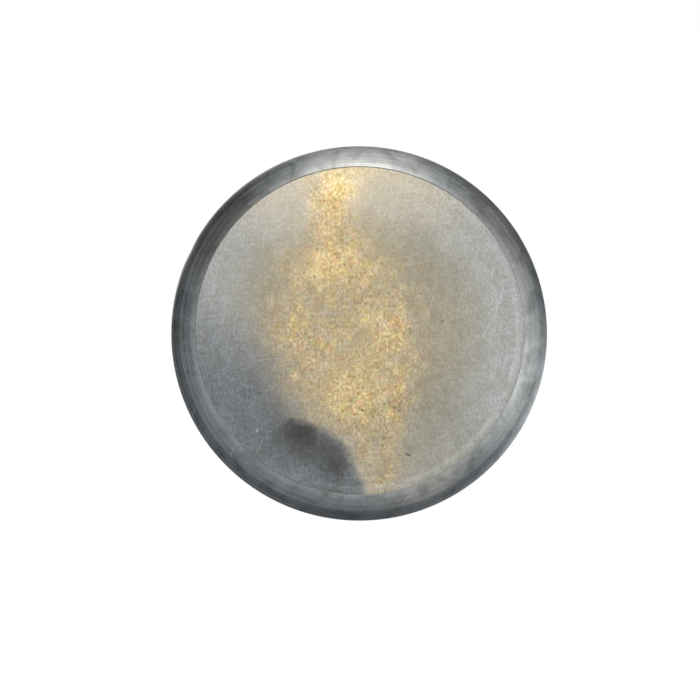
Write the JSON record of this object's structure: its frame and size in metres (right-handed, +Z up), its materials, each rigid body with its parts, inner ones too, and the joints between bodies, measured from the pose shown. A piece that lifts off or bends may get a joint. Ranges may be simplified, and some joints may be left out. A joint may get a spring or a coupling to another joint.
{
  "type": "jefferson cup",
  "caption": "Plain round pewter tumbler with a slightly flaring spun wall, a rounded heel and a flat base disc soldered into its foot, for drinking.",
  "frame": {"origin": "middle of the standing face under the base, on the cup's axis", "axes": "+Z up along the cup's axis towards the mouth; the cup is round, so X and Y are free"},
  "size_m": [0.076, 0.076, 0.072],
  "materials": {
    "spun_pewter": "satin, spun and polished on the lathe",
    "base_pewter": "matt grained sheet, warm tarnish, fine scratches",
    "soft_solder": "dull grey soft solder"
  },
  "bodies": {
    "root": {"cup_body": "spun_pewter", "base_disc": "base_pewter", "solder_seam": "soft_solder"}
  },
  "joints": []
}
